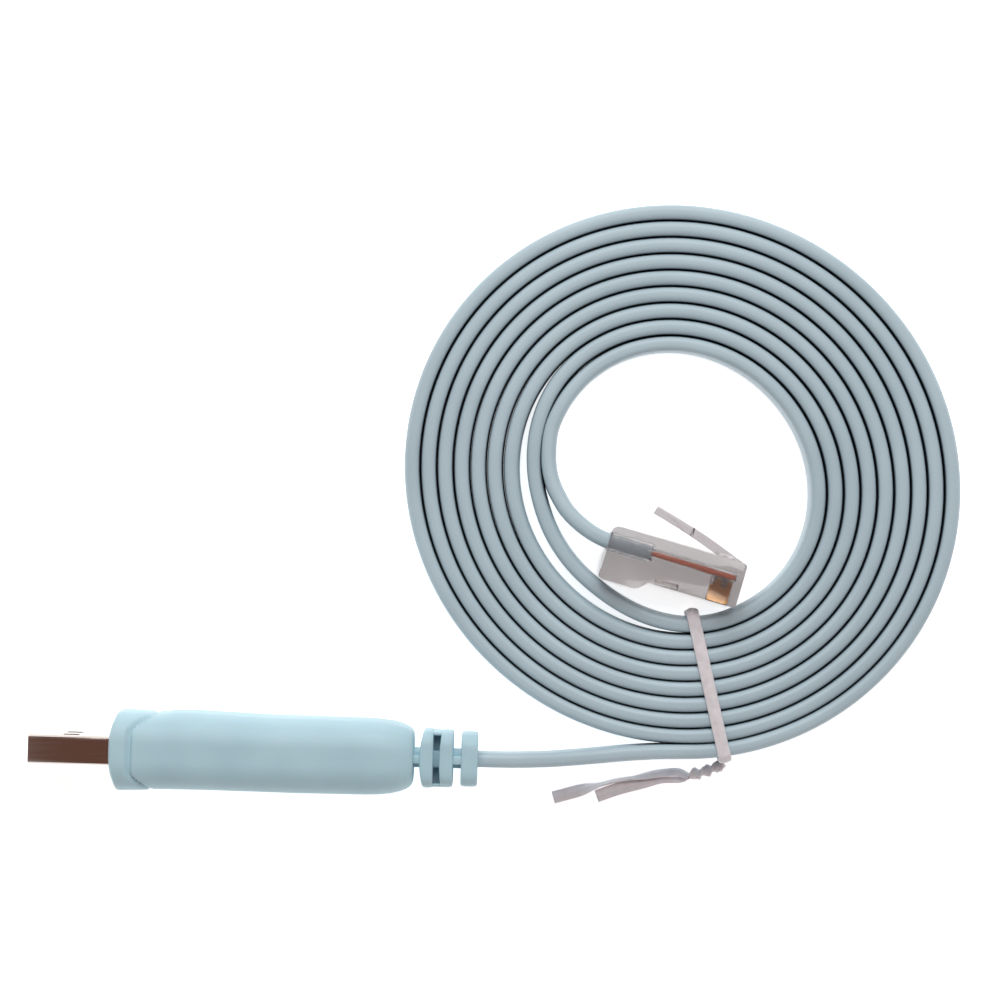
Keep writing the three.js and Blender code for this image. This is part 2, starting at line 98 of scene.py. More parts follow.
def node(tree, kind, settings=None, stops=(), **inputs):
    """Adds a node. Settings are its own values, and stops a colour ramp's places and hex colours.

    An input is a value, or a socket to link from."""
    made = tree.nodes.new(kind)
    for index, (position, colour) in enumerate(stops):
        ramp = made.color_ramp.elements
        stop = ramp[index] if index < 2 else ramp.new(position)
        stop.position = position
        stop.color = linear(colour)
    for name, value in (settings or {}).items():
        setattr(made, name, value)
    for name, value in inputs.items():
        key = int(name[1:]) if name[1:].isdigit() else name.replace("_", " ")
        socket = made.inputs[key]
        if isinstance(value, bpy.types.NodeSocket):
            tree.links.new(value, socket)
        else:
            socket.default_value = value
    return made


def material(name):
    """A new material, with an empty tree."""
    made = bpy.data.materials.new(name)
    made.use_nodes = True
    made.node_tree.nodes.clear()
    return made, made.node_tree


def surface(tree, **shader):
    """Ends a material with its one shader, whose inputs are values or sockets."""
    last = node(tree, "ShaderNodeBsdfPrincipled", **shader)
    node(tree, "ShaderNodeOutputMaterial", Surface=last.outputs["BSDF"])


def mottle(tree, size, stops):
    """Soft clouds of a real size between two tones: the place, the clouds and their colour."""
    place = node(tree, "ShaderNodeTexCoord").outputs["Object"]
    cloud = node(
        tree, "ShaderNodeTexNoise", Vector=place, Scale=1 / size, Detail=2.0).outputs["Fac"]
    tint = node(tree, "ShaderNodeValToRGB", stops=stops, Fac=cloud).outputs["Color"]
    return place, cloud, tint


print("a mid grey as the shader needs it:", round(linear(0x808080)[0], 3))


# %% [markdown]
# The flat cable's jacket is PVC, extruded over eight wires laid side by side. Extruding leaves it
# smooth and satin, with very faint lines drawn along its length by the die, and a slight unevenness
# where the wires press through. PVC has an index of refraction near 1.53. The lines are far finer
# than a pixel, so they are drawn about half a millimetre apart and kept weak: they break up the
# highlight without showing as stripes. Where two turns press together, shade is painted into the
# colour: it falls off to a dark blue by how much of the jacket's own shape closes in on a point.
# The tube that is built below carries a map whose U runs along the cable and whose V runs round it,
# both in metres, so the lines can follow the cable.

# %% Material: extruded PVC jacket
DIE_LINE = 0.5 * MM
DIE_LINE_LENGTH = 60 * MM
CLOUD = 14 * MM
PAINTED_SHADE_REACH = 1.4 * MM


def extruded_pvc():
    made, tree = material("satin PVC, extruded, pale grey-blue")
    tint = mottle(tree, CLOUD, ((0.3, 0xAFC4CE), (0.7, 0xB8CDD7)))[2]
    along = node(tree, "ShaderNodeUVMap", {"uv_map": "along"})
    scaled = node(
        tree, "ShaderNodeVectorMath", {"operation": "MULTIPLY"},
        _0=along.outputs["UV"], _1=(1 / DIE_LINE_LENGTH, 1 / DIE_LINE, 1))
    lines = node(
        tree, "ShaderNodeTexNoise", {"noise_dimensions": "2D"},
        Vector=scaled.outputs["Vector"], Scale=1.0, Detail=1.0)
    # Painted shade: where the jacket's own shape closes in, the colour is mixed towards a dark blue.
    painted_shade_ao = node(
        tree, "ShaderNodeAmbientOcclusion", {"samples": 8, "only_local": True},
        Color=linear(0xFFFFFF), Distance=PAINTED_SHADE_REACH)
    depth = node(
        tree, "ShaderNodeMapRange", Value=painted_shade_ao.outputs["AO"], From_Min=0.2, From_Max=0.72)
    with_painted_shade = node(
        tree, "ShaderNodeMix", {"data_type": "RGBA"}, _0=depth.outputs["Result"],
        _6=linear(0x1B2E3A), _7=tint)
    bump = node(
        tree, "ShaderNodeBump", Height=lines.outputs["Fac"], Strength=0.25, Distance=0.02 * MM)
    surface(
        tree, Base_Color=with_painted_shade.outputs[2], Normal=bump.outputs["Normal"], Roughness=0.42, IOR=1.53)
    return made


JACKET = extruded_pvc()
print("jacket material nodes:", len(JACKET.node_tree.nodes))

# %% [markdown]
# The photograph looks straight down. A camera that looks straight down, with +Y up in the picture,
# needs no turn at all. Its lens is chosen so that the picture is 159.5 mm wide at the table from
# 600 mm up: the taller parts then come out slightly larger than the flat ones, and lean slightly
# outwards at the picture's edges, as they do in the photograph.

# %% Camera
CAMERA_HEIGHT = 600.0
FRAME_WIDTH = 159.49
SENSOR = 36.0
VIEW_MIDDLE = (-28.78, -2.6)

camera_data = bpy.data.cameras.new("overhead camera")
camera_data.sensor_width = SENSOR
camera_data.lens = SENSOR * CAMERA_HEIGHT / FRAME_WIDTH
camera_data.clip_start = 0.01
camera_data.clip_end = 10
camera = bpy.data.objects.new("overhead camera", camera_data)
camera.location = from_coil(*VIEW_MIDDLE, CAMERA_HEIGHT)
bpy.context.scene.collection.objects.link(camera)
bpy.context.scene.camera = camera
print("lens in mm:", round(camera_data.lens, 2))

# %% [markdown]
# A product picture like this one is lit from all round on a table that comes out pure white. The
# sky here is pale, with a brown patch straight overhead, where the dark ceiling and the camera
# would be: a polished steel face that lies level shows exactly that patch, and so it looks brown.
# A broad soft light on the far side gives the moulding its lit upper half, a weaker one stands on
# the near side, and the table glows a little by itself, so that the gaps between the turns stay
# white and the shadows faint. Its glow is cut down where something lies right on it: a painted
# shadow, so that the table seen through the clear plug is as grey as it should be.

# %% Table, sky and lights
TABLE_GLOW = 0.72
PAINTED_SHADOW_GLOW = 0.2
PAINTED_SHADOW_REACH = 0.6 * MM
TABLE_HALF = 1.5
TABLE_HEIGHT = -0.02
SKY_STRENGTH = 0.5
OVERHEAD_FROM = 0.76
OVERHEAD_FULL = 0.86


def make_sky():
    sky = bpy.data.worlds.new("pale studio")
    sky.use_nodes = True
    tree = sky.node_tree
    tree.nodes.clear()
    toward = node(tree, "ShaderNodeTexCoord")
    split = node(tree, "ShaderNodeSeparateXYZ", Vector=toward.outputs["Generated"])
    ramp = node(
        tree, "ShaderNodeValToRGB",
        stops=((0.0, 0xF4F1EE), (OVERHEAD_FROM, 0xE8E4E2), (OVERHEAD_FULL, 0x9A6B5B)),
        Fac=split.outputs["Z"])
    light = node(
        tree, "ShaderNodeBackground", Color=ramp.outputs["Color"], Strength=SKY_STRENGTH)
    node(tree, "ShaderNodeOutputWorld", Surface=light.outputs["Background"])
    bpy.context.scene.world = sky


def soft_light(name, place, size, watts):
    """A square area light at a point from the coil, turned to face the middle of the picture."""
    data = bpy.data.lights.new(name, "AREA")
    data.shape = "SQUARE"
    data.size = size
    data.energy = watts
    light = bpy.data.objects.new(name, data)
    light.location = from_coil(*place)
    aim = from_coil(*VIEW_MIDDLE, 0) - light.location
    light.rotation_euler = aim.to_track_quat("-Z", "Y").to_euler()
    bpy.context.scene.collection.objects.link(light)


def make_table():
    bm = bmesh.new()
    bmesh.ops.create_grid(bm, x_segments=1, y_segments=1, size=TABLE_HALF)
    mesh = bpy.data.meshes.new("table")
    bm.to_mesh(mesh)
    bm.free()
    table = bpy.data.objects.new("table", mesh)
    table.location = from_coil(*VIEW_MIDDLE, TABLE_HEIGHT)
    bpy.context.scene.collection.objects.link(table)
    made, tree = material("white laminate, matt")
    # Painted shadow: the table's glow drops where something lies within reach above it.
    painted_shadow_ao = node(
        tree, "ShaderNodeAmbientOcclusion", {"samples": 8}, Color=linear(0xFFFFFF),
        Distance=PAINTED_SHADOW_REACH)
    glow = node(
        tree, "ShaderNodeMapRange", Value=painted_shadow_ao.outputs["AO"], To_Min=PAINTED_SHADOW_GLOW,
        To_Max=TABLE_GLOW)
    surface(
        tree, Base_Color=linear(0xF2F2F2), Roughness=0.9, Emission_Color=linear(0xFFFFFF),
        Emission_Strength=glow.outputs["Result"])
    table.data.materials.append(made)


make_sky()
make_table()
soft_light("far soft light", (-20, 500, 640), 0.7, 5.0)
soft_light("near soft light", (-60, -700, 420), 0.6, 0.2)
bpy.context.scene.view_settings.view_transform = "Standard"

# %% [markdown]
# The cable is one length of flat cord, 6.8 mm by 2.55 mm, so it is one piece here: hidden in the
# strain relief at first, then across to the coil, round nearly nine times, and into the clear plug.
# It could be a curve with a flat bevel, but a curve twists where its path turns in two directions.
# A tube built ring by ring, with each ring set upright, can't twist, and it can carry the map that
# the jacket's lines need.
#
# The coil is a spiral that a person wound by hand: its radius and its spacing change slightly with
# the direction, and the last two turns dip inwards on the left side, which opens the white gap
# between them. Each of those is one term in a formula, not a list of points.

# %% The cable's route
CABLE_WIDTH = 6.8
CABLE_THICKNESS = 2.55
FLAT_HEIGHT = CABLE_WIDTH / 2
TURNS_TO_TAIL = 8.69
SPIRAL_STEP = math.radians(4)
ROUTE_STEP = 1.2
LEAD_RISE = 0.7
TAIL_RISE = 0.2
# The lead and the tail are listed in millimetres from the middle of the coil.
LEAD = [
    (-40.5, -43.05, 8.7), (-36, -43.17, 8.7),
    (-31.9, -43.28, 8.7), (-29.9, -43.34, 8.7), (-26.8, -43.42, 8.25), (-23.5, -43.43, 7.45),
    (-20.8, -43.4, 6.7), (-17.8, -43.25, 5.9), (-14, -43, 5.2), (-9, -42.6, 4.6), (-4, -42.35, 4.15),
]
TAIL = [
    (-21.05, 6.28, 3.75), (-21.0, 2.4, 4.1), (-20.3, -0.35, 4.45),
    (-19.25, -2.5, 4.8), (-18.4, -3.95, 5.1), (-17.1, -5.45, 5.4),
    (-15.4, -6.95, 5.7), (-13.7, -8.1, 5.84), (-11.9, -8.98, 5.84), (-9.43, -9.77, 5.84),
    (-7, -10.49, 5.84), (-4.83, -11.13, 5.84),
]


def smooth_step(value, start, end):
    """Rises smoothly from 0 at start to 1 at end."""
    share = min(1.0, max(0.0, (value - start) / (end - start)))
    return share * share * (3 - 2 * share)


def hump(value, start, peak, end):
    """A smooth hill from start over peak to end."""
    return smooth_step(value, start, peak) * (1 - smooth_step(value, peak, end))


def spiral_point(turns):
    """The middle of the cable after so many turns, in millimetres from the coil."""
    angle = 2 * math.pi * turns
    cos, sin, twice = math.cos(angle), math.sin(angle), math.cos(2 * angle)
    slant = math.sin(2 * angle)
    start = 43.53 - 0.142 * cos - 0.35 * sin - 0.363 * twice + 0.79 * slant
    pitch = 2.5895 - 0.0528 * cos + 0.0276 * sin - 0.0481 * twice
    dip = 1.36 * smooth_step(turns, 7.61, 7.79) * (1 - smooth_step(turns, 7.88, 8.04))
    radius = start - turns * pitch - dip
    return (-0.24 + radius * sin, 0.71 - radius * cos, spiral_height(turns))


def spiral_height(turns):
    """The lead comes down to the table in the first eighth of a turn, and the tail rises again."""
    height = FLAT_HEIGHT + LEAD_RISE * (1 - smooth_step(turns, 0, 0.13))
    return height + TAIL_RISE * smooth_step(turns, TURNS_TO_TAIL - 0.1, TURNS_TO_TAIL)


TIE_TURN = math.radians(-77.4)
TIE_OFFSET = -2.95
TIE_LIFT = 0.62
LIFT_REACH = 6.0


def over_tie(point):
    """The turns pass over the twist tie's wire, which lifts them by its thickness."""
    x, y, z = point
    cos, sin = math.cos(TIE_TURN), math.sin(TIE_TURN)
    beside = -x * sin + y * cos - TIE_OFFSET
    along_tie = x * cos + y * sin
    lift = TIE_LIFT * math.exp(-(beside / LIFT_REACH) ** 2) if along_tie > 0 else 0
    return (x, y, max(z, FLAT_HEIGHT + lift))


def smooth_route(points, step):
    """Points at even spacing on a smooth curve through the given ones."""
    given = [Vector(p) for p in points]
    given = [2 * given[0] - given[1], *given, 2 * given[-1] - given[-2]]
    dense = []
    for a, b, c, d in zip(given, given[1:], given[2:], given[3:]):
        knots = [0.0]
        for near, far in ((a, b), (b, c), (c, d)):
            knots.append(knots[-1] + max((far - near).length, 1e-6) ** 0.5)
        count = max(2, int((c - b).length / step * 3))
        for index in range(count):
            t = knots[1] + (knots[2] - knots[1]) * index / count
            ab = a.lerp(b, (t - knots[0]) / (knots[1] - knots[0]))
            bc = b.lerp(c, (t - knots[1]) / (knots[2] - knots[1]))
            cd = c.lerp(d, (t - knots[2]) / (knots[3] - knots[2]))
            abc = ab.lerp(bc, (t - knots[0]) / (knots[2] - knots[0]))
            bcd = bc.lerp(cd, (t - knots[1]) / (knots[3] - knots[1]))
            dense.append(abc.lerp(bcd, (t - knots[1]) / (knots[2] - knots[1])))
    dense.append(given[-2])
    reach = [0.0]
    for near, far in zip(dense, dense[1:]):
        reach.append(reach[-1] + (far - near).length)
    count = max(2, round(reach[-1] / step))
    even = []
    for index in range(count + 1):
        target = reach[-1] * index / count
        found = min(max(bisect.bisect_right(reach, target) - 1, 0), len(dense) - 2)
        span = reach[found + 1] - reach[found] or 1.0
        even.append(dense[found].lerp(dense[found + 1], (target - reach[found]) / span))
    return even


def cable_route(step):
    count = int(2 * math.pi * TURNS_TO_TAIL / SPIRAL_STEP)
    spiral = [over_tie(spiral_point(TURNS_TO_TAIL * index / count)) for index in range(count + 1)]
    return smooth_route([*LEAD, *spiral, *TAIL], step)


route = cable_route(ROUTE_STEP)
print("cable route:", len(route), "points,", round(len(route) * ROUTE_STEP), "mm")

# %% [markdown]
# A ring of the tube is the cable's section: a rectangle whose corners are rounded. Each ring is set
# across the route, and stands upright as the cable does on its edge. The same helper makes every
# other length of wire or ribbon here, so it takes the section as a list of points, and a roll that
# may change along the way, for the twisted tie.

# %% Tubes along a route


def rounded_section(width, height, radius, arc=5):
    """Points round a rectangle with round corners, counter-clockwise, centred on zero."""
    points = []
    corners = ((1, 1, 0), (-1, 1, 90), (-1, -1, 180), (1, -1, 270))
    for side_x, side_y, start in corners:
        for index in range(arc + 1):
            angle = math.radians(start + 90 * index / arc)
            points.append((
                side_x * (width / 2 - radius) + radius * math.cos(angle),
                side_y * (height / 2 - radius) + radius * math.sin(angle)))
    return points


def add_object(name, mesh, finish):
    """Links a finished mesh as a piece of the object, with its material, under the root body."""
    made = bpy.data.objects.new(name, mesh)
    bpy.context.scene.collection.objects.link(made)
    mesh.shade_smooth()
    # A mesh that was joined from several can come with an empty slot, so the slots are cleared.
    mesh.materials.clear()
    mesh.materials.append(finish)
    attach(made, "root")
    return made


def tube_mesh(name, points, section, roll=None, side=None):
    """A closed tube: the section's first axis lies level, or along side, and its second stands up.

    points are in metres, the section in millimetres; roll is a function of the share of the way,
    for a turn in radians."""
    bm = bmesh.new()
    uv = bm.loops.layers.uv.new("along")
    rings = []
    marks = []
    travelled = 0.0
    for index, point in enumerate(points):
        before = points[max(index - 1, 0)]
        after = points[min(index + 1, len(points) - 1)]
        ahead = (after - before).normalized()
        level = side or ahead.cross(Vector((0, 0, 1))).normalized()
        upright = level.cross(ahead).normalized()
        angle = roll(index / (len(points) - 1)) if roll else 0.0
        across = level * math.cos(angle) + upright * math.sin(angle)
        up = upright * math.cos(angle) - level * math.sin(angle)
        rings.append([
            bm.verts.new(point + (across * x + up * y) * MM) for x, y in section])
        if index:
            travelled += (point - points[index - 1]).length
        marks.append(travelled)
    around = [0.0]
    for near, far in zip(section, [*section[1:], section[0]]):
        around.append(around[-1] + math.dist(near, far) * MM)
    count = len(section)
    for index in range(len(rings) - 1):
        for corner in range(count):
            following = (corner + 1) % count
            face = bm.faces.new((
                rings[index][corner], rings[index][following],
                rings[index + 1][following], rings[index + 1][corner]))
            for loop, mark, reach in zip(
                    face.loops, (index, index, index + 1, index + 1),
                    (around[corner], around[corner + 1], around[corner + 1], around[corner])):
                loop[uv].uv = (marks[mark], reach)
    bm.faces.new(list(reversed(rings[0])))
    bm.faces.new(rings[-1])
    bmesh.ops.recalc_face_normals(bm, faces=bm.faces)
    mesh = bpy.data.meshes.new(name)
    bm.to_mesh(mesh)
    bm.free()
    return mesh


CABLE_CORNER = 0.8
EDGE_THICKNESS = 2.15
LEAN = math.radians(-2.0)


def cable_section():
    """The jacket's section: thickest at half its height, over the wires, with small round edges."""
    swell = CABLE_THICKNESS / EDGE_THICKNESS - 1
    outline = rounded_section(EDGE_THICKNESS, CABLE_WIDTH, CABLE_CORNER)
    points = []
    for near, far in zip(outline, [*outline[1:], outline[0]]):
        steps = max(1, round(math.dist(near, far)))
        for step in range(steps):
            x = near[0] + (far[0] - near[0]) * step / steps
            y = near[1] + (far[1] - near[1]) * step / steps
            points.append((x * (1 + swell * (1 - (y / FLAT_HEIGHT) ** 2)), y))
    return points


def lean(share):
    """The turns lean outwards by a couple of degrees, and stand upright in both connectors."""
    return LEAN * smooth_step(share, 0.02, 0.06) * (1 - smooth_step(share, 0.96, 0.985))


metres = [COIL + point * MM for point in route]
flat_cable = add_object(
    "flat_cable", tube_mesh("flat_cable", metres, cable_section(), roll=lean), JACKET)
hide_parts("cable_lead", "cable_coil", "cable_tail")
real_length = sum((b - a).length for a, b in zip(metres, metres[1:]))
print("cable length in mm:", round(real_length / MM, 1))

# %% [markdown]
# The USB end is moulded in one go round the plug and the end of the cable, from flexible PVC. Its
# body could be carved from a block, but a moulding like this changes its section smoothly from end
# to end, so a loft suits it: rings of points, each a rounded rectangle, are set one after another
# along the axis and joined. The rings' sizes come from a few places along the body, and the
# C-shaped groove behind the collar is pressed into them by a formula, so it needs no cutting.

# %% Rings and lofts
RING_POINTS = 96


def ring(half_y, half_z, corner, count=RING_POINTS):
    """Evenly spaced points round a rounded rectangle: the same places on rings of any size."""
    start = (half_y, 0.0)
    outline = [start, *rounded_section(2 * half_y, 2 * half_z, corner, arc=12), start]
    reach = [0.0]
    for near, far in zip(outline, outline[1:]):
        reach.append(reach[-1] + math.dist(near, far))
    points = []
    for index in range(count):
        target = reach[-1] * index / count
        found = min(bisect.bisect_right(reach, target) - 1, len(outline) - 2)
        share = (target - reach[found]) / ((reach[found + 1] - reach[found]) or 1.0)
        near, far = outline[found], outline[found + 1]
        points.append((near[0] + (far[0] - near[0]) * share, near[1] + (far[1] - near[1]) * share))
    return points


def loft(bm, rings, capped=True):
    """Joins rings of points in millimetres, and caps both ends or joins the last to the first."""
    made = [[bm.verts.new(Vector(point) * MM) for point in points] for points in rings]
    for near, far in zip(made, made[1:] if capped else [*made[1:], made[0]]):
        for index in range(len(near)):
            following = (index + 1) % len(near)
            bm.faces.new((near[index], near[following], far[following], far[index]))
    if capped:
        bm.faces.new(list(reversed(made[0])))
        bm.faces.new(made[-1])
    bmesh.ops.recalc_face_normals(bm, faces=bm.faces)


def between(places, x):
    """Values at x, smoothly between the places of a list of (x, value, value, ...)."""
    found = min(max(bisect.bisect_right([place[0] for place in places], x) - 1, 0), len(places) - 2)
    near, far = places[found], places[found + 1]
    share = min(1.0, max(0.0, (x - near[0]) / (far[0] - near[0])))
    return [a + (b - a) * share for a, b in zip(near[1:], far[1:])]


def rounded_box(bm, low, high, radius):
    """A box between two corners in millimetres, with its edges rounded over."""
    middle = [(a + b) / 2 for a, b in zip(low, high)]
    size = [b - a for a, b in zip(low, high)]
    made = bmesh.ops.create_cube(bm, size=1.0)["verts"]
    for vert in made:
        vert.co = Vector([m + c * s for m, c, s in zip(middle, vert.co, size)]) * MM
    edges = {edge for vert in made for edge in vert.link_edges}
    bmesh.ops.bevel(
        bm, geom=list(edges), offset=radius * MM, segments=3, profile=0.5, affect="EDGES")


def as_object(name, bm):
    """Turns a mesh in the making into an object that combine() uses up."""
    mesh = bpy.data.meshes.new(name)
    bm.to_mesh(mesh)
    bm.free()
    made = bpy.data.objects.new(name, mesh)
    bpy.context.scene.collection.objects.link(made)
    return made


def box_object(low, high, radius=0.0):
    """A box between two corners in millimetres, as a tool, with round edges if a radius is given."""
    bm = bmesh.new()
    if radius:
        rounded_box(bm, low, high, radius)
    else:
        made = bmesh.ops.create_cube(bm, size=1.0)["verts"]
        for vert in made:
            share = vert.co + Vector((0.5, 0.5, 0.5))
            vert.co = Vector([a + (b - a) * s for a, b, s in zip(low, high, share)]) * MM
    return as_object("tool", bm)


def outline_object(points, depth):
    """A solid from an outline in X and Y, in millimetres, centred on Z = 0."""
    bm = bmesh.new()
    face = bm.faces.new([bm.verts.new(Vector((x, y, -depth / 2)) * MM) for x, y in points])
    grown = bmesh.ops.extrude_face_region(bm, geom=[face])["geom"]
    for vert in (item for item in grown if isinstance(item, bmesh.types.BMVert)):
        vert.co.z = depth / 2 * MM
    bmesh.ops.recalc_face_normals(bm, faces=bm.faces)
    return as_object("tool", bm)


def combine(
        base, joined=(), cut=(), edge_round=0.0, edge_angle=40, edge_segments=2, solver="EXACT"):
    """Joins and cuts with tool objects, rounds the edges, and gives the finished mesh."""
    tools = [(tool, "UNION") for tool in joined] + [(tool, "DIFFERENCE") for tool in cut]
    for tool, operation in tools:
        change = base.modifiers.new(operation.lower(), "BOOLEAN")
        change.object = tool
        change.operation = operation
        change.solver = solver
    if edge_round:
        soften = base.modifiers.new("edges", "BEVEL")
        soften.width = edge_round * MM
        soften.segments = edge_segments
        soften.limit_method = "ANGLE"
        soften.angle_limit = math.radians(edge_angle)
        soften.use_clamp_overlap = True
    bpy.context.view_layer.update()
    graph = bpy.context.evaluated_depsgraph_get()
    mesh = bpy.data.meshes.new_from_object(base.evaluated_get(graph))
    for used in [base, *[tool for tool, _ in tools]]:
        bpy.data.objects.remove(used)
    return mesh


def placed(name, mesh, place, finish, sharp=None):
    """Sets a mesh made in its own frame into place, and adds it as a piece."""
    mesh.transform(place)
    mesh.name = name
    made = add_object(name, mesh, finish)
    if sharp:
        mesh.set_sharp_from_angle(angle=math.radians(sharp))
    return made


print("a ring has", len(ring(5, 8, 4)), "points")

# %% [markdown]
# Soft PVC from a spark-eroded mould is satin: the mould's fine pits leave a faint orange-peel
# surface, with grains of about a fifth of a millimetre. At that size it only spreads the highlight.
# A broader, weaker unevenness shows where the moulding shrank over what it holds.

# %% Material: moulded PVC housing
GRAIN = 0.22 * MM
SINK = 9 * MM


def moulded_pvc():
    made, tree = material("satin PVC, moulded, pale blue")
    place, cloud, tint = mottle(tree, SINK, ((0.3, 0xAED0DC), (0.7, 0xB6D7E2)))
    grain = node(tree, "ShaderNodeTexNoise", Vector=place, Scale=1 / GRAIN, Detail=1.0)
    fine = node(
        tree, "ShaderNodeBump", Height=grain.outputs["Fac"], Strength=0.35, Distance=0.03 * MM)
    broad = node(
        tree, "ShaderNodeBump", Height=cloud, Normal=fine.outputs["Normal"],
        Strength=0.4, Distance=0.15 * MM)
    surface(
        tree, Base_Color=tint, Normal=broad.outputs["Normal"], Roughness=0.55, IOR=1.53,
        Subsurface_Weight=0.08, Subsurface_Scale=0.5 * MM)
    return made


HOUSING_FINISH = moulded_pvc()
print("housing material nodes:", len(HOUSING_FINISH.node_tree.nodes))

# %% [markdown]
# The body is 11.5 mm by 17.4 mm in section and 47.8 mm long. Its front is a collar, a little
# thicker, with a face that bulges forward, and a pocket that holds the steel sleeve. A groove runs
# across each narrow face behind the collar and bends back at both ends like a letter C. Behind it
# the body runs straight to a soft shoulder.

# %% Housing body
BODY_LENGTH = 47.8
POCKET_DEPTH = 6.3
FRONT_BULGE = 1.5
FRONT_DOME = 0.85
FRONT_ROUND = 0.35
GROOVE_DEPTH = 0.6
GROOVE_BEFORE = 0.6
GROOVE_BEHIND = 0.24
SWELL = 0.5
COLLAR_HALF = (6.1, 8.7)
POCKET_HALF = (2.3, 6.05)
FINE_STEP, PLAIN_STEP, SHOULDER_STEP = 0.13, 1.2, 0.4
GROOVE_PAST = 8.5
SHOULDER_FROM = 39
# Each place is a distance behind the front, half the thickness, half the height and the corner.
BODY_PLACES = [
    (0.0, *COLLAR_HALF, 4.4), (2.0, 6.12, 8.7, 4.4), (6.5, 5.98, 8.7, 4.4), (8.0, 5.8, 8.7, 4.4),
    (16.0, 5.75, 8.7, 4.4), (30.0, 5.85, 8.7, 4.4), (40.5, 5.78, 8.7, 4.4), (42.6, 5.7, 8.6, 4.4),
    (44.5, 5.48, 8.3, 4.3), (45.8, 5.16, 7.95, 4.1), (46.9, 4.7, 7.4, 3.8), (47.5, 4.25, 6.95, 3.4),
    (47.75, 3.8, 6.6, 3.0), (47.8, 3.0, 5.9, 2.3),
]


def groove_line(y):
    """How far behind the front the groove runs, at y from the middle of the narrow face."""
    outward = max(0.0, abs(y) - 3.0)
    return 3.9 + 3.6 * min(outward / 3.0, 1.06) ** 1.7


def front_curve(y, z):
    """How far back the collar's front lies at y, z: it is domed both ways."""
    sideways, upward = abs(y) / COLLAR_HALF[0], abs(z) / COLLAR_HALF[1]
    return FRONT_BULGE * sideways ** 2.5 + FRONT_DOME * upward ** 2.5


def housing_ring(x, inset=0.0):
    """The body's outline at x behind its front, with the groove pressed in and the front domed."""
    half_y, half_z, corner = between(BODY_PLACES, x)
    points = []
    for y, z in ring(half_y - inset, half_z - inset, max(corner - inset, 0.5)):
        behind = x - groove_line(y)
        behind /= GROOVE_BEHIND if behind > 0 else GROOVE_BEFORE
        depth = GROOVE_DEPTH * math.exp(-behind ** 2) * (1.0 if abs(z) > 3 else abs(z) / 3)
        shrink = 1 - depth / math.hypot(y, z)
        back = front_curve(y, z) * (1 - smooth_step(x, 0.0, 3.5))
        side = y * shrink + SWELL * hump(x, 6, 12, 28) * max(0.0, y / half_y)
        points.append((x + back, side, z * shrink))
    return points


def flat_ring(x, half_y, half_z, corner):
    """An outline of the front face or of the pocket in it."""
    return [
        (x + front_curve(y, z) * (1 - smooth_step(x, 0.5, 1.5)), y, z)
        for y, z in ring(half_y, half_z, corner)]


def housing_body():
    """From the bottom of the pocket out over the front, and back to the shoulder."""
    rings = [flat_ring(depth, *POCKET_HALF, 0.7) for depth in (POCKET_DEPTH, 1.5, 0.1)]
    rings.append(flat_ring(0.0, POCKET_HALF[0] + 0.1, POCKET_HALF[1] + 0.1, 0.8))
    rings.append(flat_ring(0.0, 3.9, 7.2, 2.6))
    for index in range(5):
        angle = math.pi / 2 * index / 4
        rings.append(housing_ring(
            FRONT_ROUND * (1 - math.cos(angle)), FRONT_ROUND * (1 - math.sin(angle))))
    x = FRONT_ROUND + 0.2
    while x < BODY_LENGTH - 1:
        rings.append(housing_ring(x))
        x += FINE_STEP if x < GROOVE_PAST else PLAIN_STEP if x < SHOULDER_FROM else SHOULDER_STEP
    for short in (0.9, 0.6, 0.3, 0.15, 0.05, 0):
        rings.append(housing_ring(BODY_LENGTH - short))
    bm = bmesh.new()
    loft(bm, rings)
    print("housing rings:", len(rings))
    return as_object("body", bm)


# %% [markdown]
# The strain relief is the slotted tail that lets the cable bend without kinking. It is part of the
# same moulding: a core round the cable, and three ribs that are joined by thin webs, first on the
# top and bottom, then at the sides, then on the top and bottom again, so that it gives both ways.
# Each rib and web is a rounded box. They are joined to the body by the manifold boolean
# solver, which leaves one closed skin, as the mould does.

# %% Strain relief
RELIEF_START = 47.8
RIB_GAP = 1.25
RIB = 1.85
END_RIB = 2.6
RIB_CORNER = 2.1
RIB_ROUND = 0.38
CORE_HALF = (1.35, 3.95)
CORE_LENGTH = 9.6
FIN_HALF = (0.68, 5.6)
SIDE_WEB_HALF = (3.74, 4.24, 4.6)
SLOT_FLOOR = (0.9, 4.1, 1.6)


